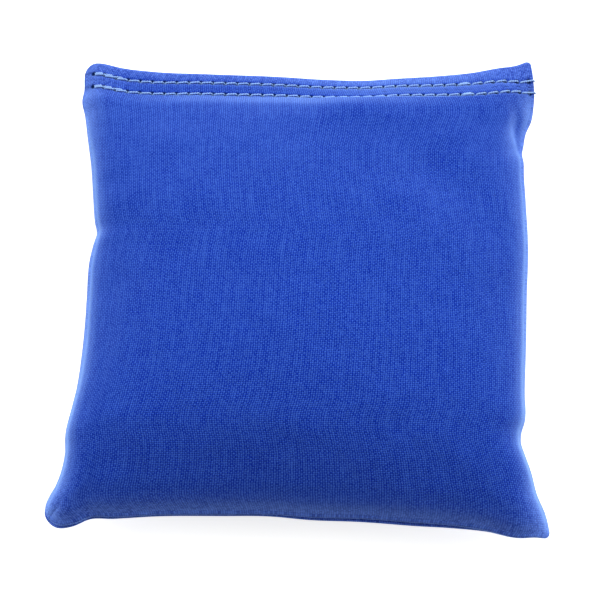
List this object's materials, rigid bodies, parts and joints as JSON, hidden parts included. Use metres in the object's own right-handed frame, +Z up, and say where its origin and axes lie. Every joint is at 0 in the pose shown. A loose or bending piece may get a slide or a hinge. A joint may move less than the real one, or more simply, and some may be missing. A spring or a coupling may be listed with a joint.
{
  "type": "toss bean bag",
  "caption": "Square cloth toss bag, loosely filled, with a turned and topstitched closing hem along one side.",
  "frame": {"origin": "middle of the bag's outline, on the surface that it lies on", "axes": "+Z up, +Y towards the closing hem, +X to the right when the hem is at the top of the view"},
  "size_m": [0.1515, 0.1518, 0.0365],
  "materials": {
    "canvas": "matt plain-woven canvas",
    "thread": "slightly glossy twisted thread",
    "pellets": "matt"
  },
  "bodies": {
    "root": {"front_panel": "canvas", "back_panel": "canvas", "fill": "pellets", "mouth_outer_row_needle_thread": "thread", "mouth_outer_row_bobbin_thread": "thread", "mouth_inner_row_needle_thread": "thread", "mouth_inner_row_bobbin_thread": "thread", "side_seam_needle_thread": "thread", "side_seam_bobbin_thread": "thread"}
  },
  "joints": []
}
